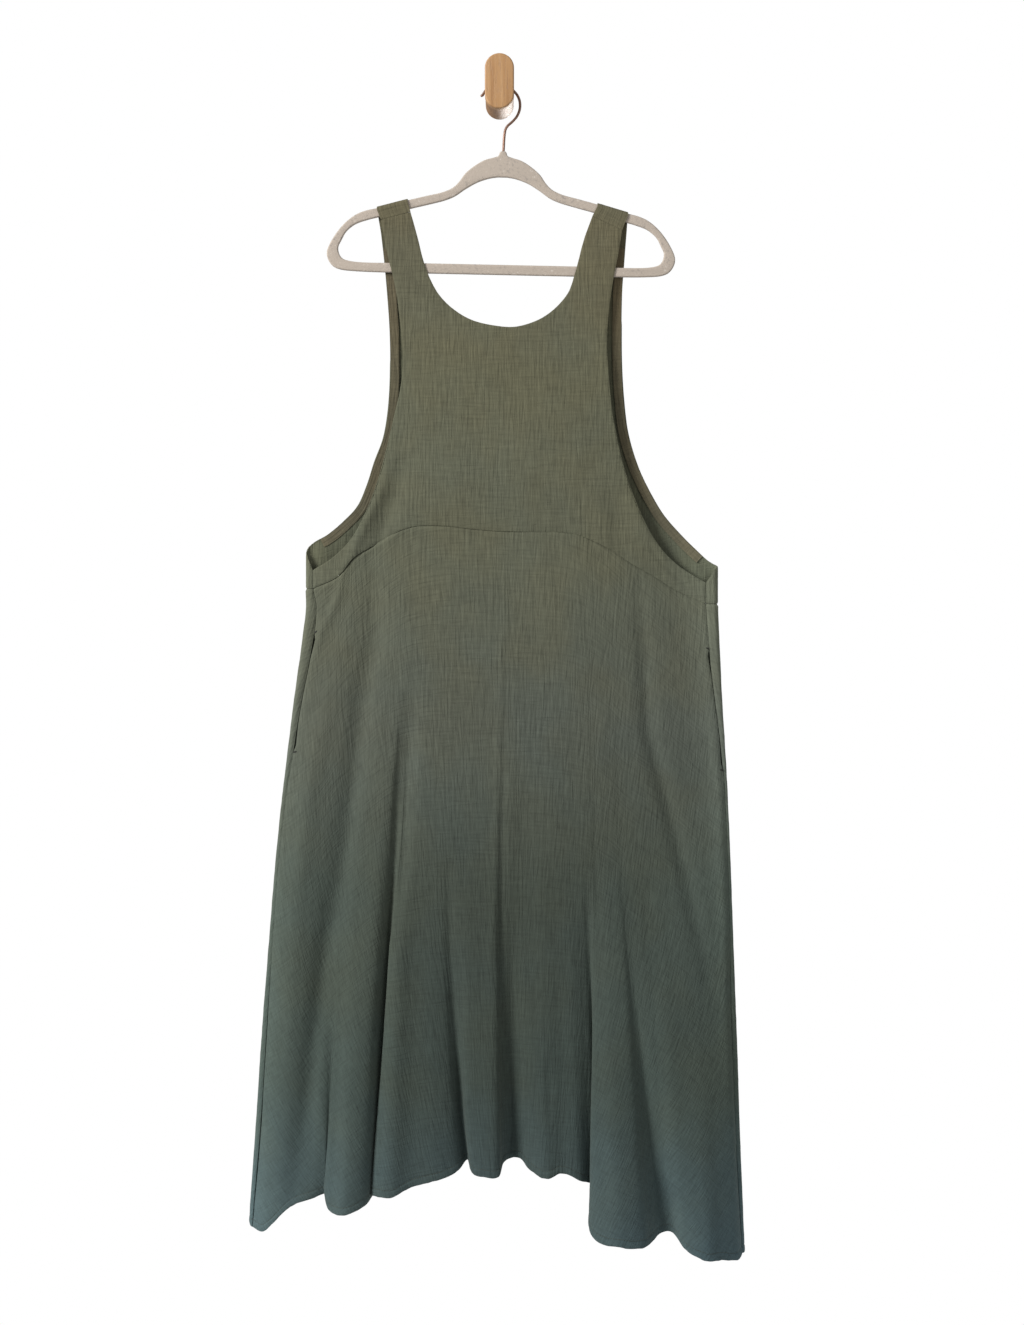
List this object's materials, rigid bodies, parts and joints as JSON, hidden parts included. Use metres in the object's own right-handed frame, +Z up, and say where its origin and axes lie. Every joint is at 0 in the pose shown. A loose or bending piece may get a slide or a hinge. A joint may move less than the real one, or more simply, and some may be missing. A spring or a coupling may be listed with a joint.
{
  "type": "tent dress on a hanger",
  "caption": "Sleeveless flared tent dress of crinkled double gauze, on a slim hanger with a wire hook that hangs on a round wooden wall hook.",
  "frame": {"origin": "centre of the wall hook's round back face, on the wall", "axes": "+X to the right seen from the front, +Y into the wall, +Z up"},
  "size_m": [0.6319, 0.0887, 1.5264],
  "materials": {
    "gauze": "crinkled cotton double gauze, matt",
    "flocking": "flocked like velvet",
    "wire": "polished rose gold plating",
    "oak": "oiled, satin"
  },
  "bodies": {
    "root": {"front_bodice": "gauze", "back_bodice": "gauze", "front_skirt": "gauze", "back_skirt": "gauze", "armhole_facing_left": "gauze", "armhole_facing_right": "gauze", "pocket_left": "gauze", "pocket_right": "gauze", "hanger": "flocking", "hanger_hook": "wire", "wall_hook": "oak"}
  },
  "joints": []
}
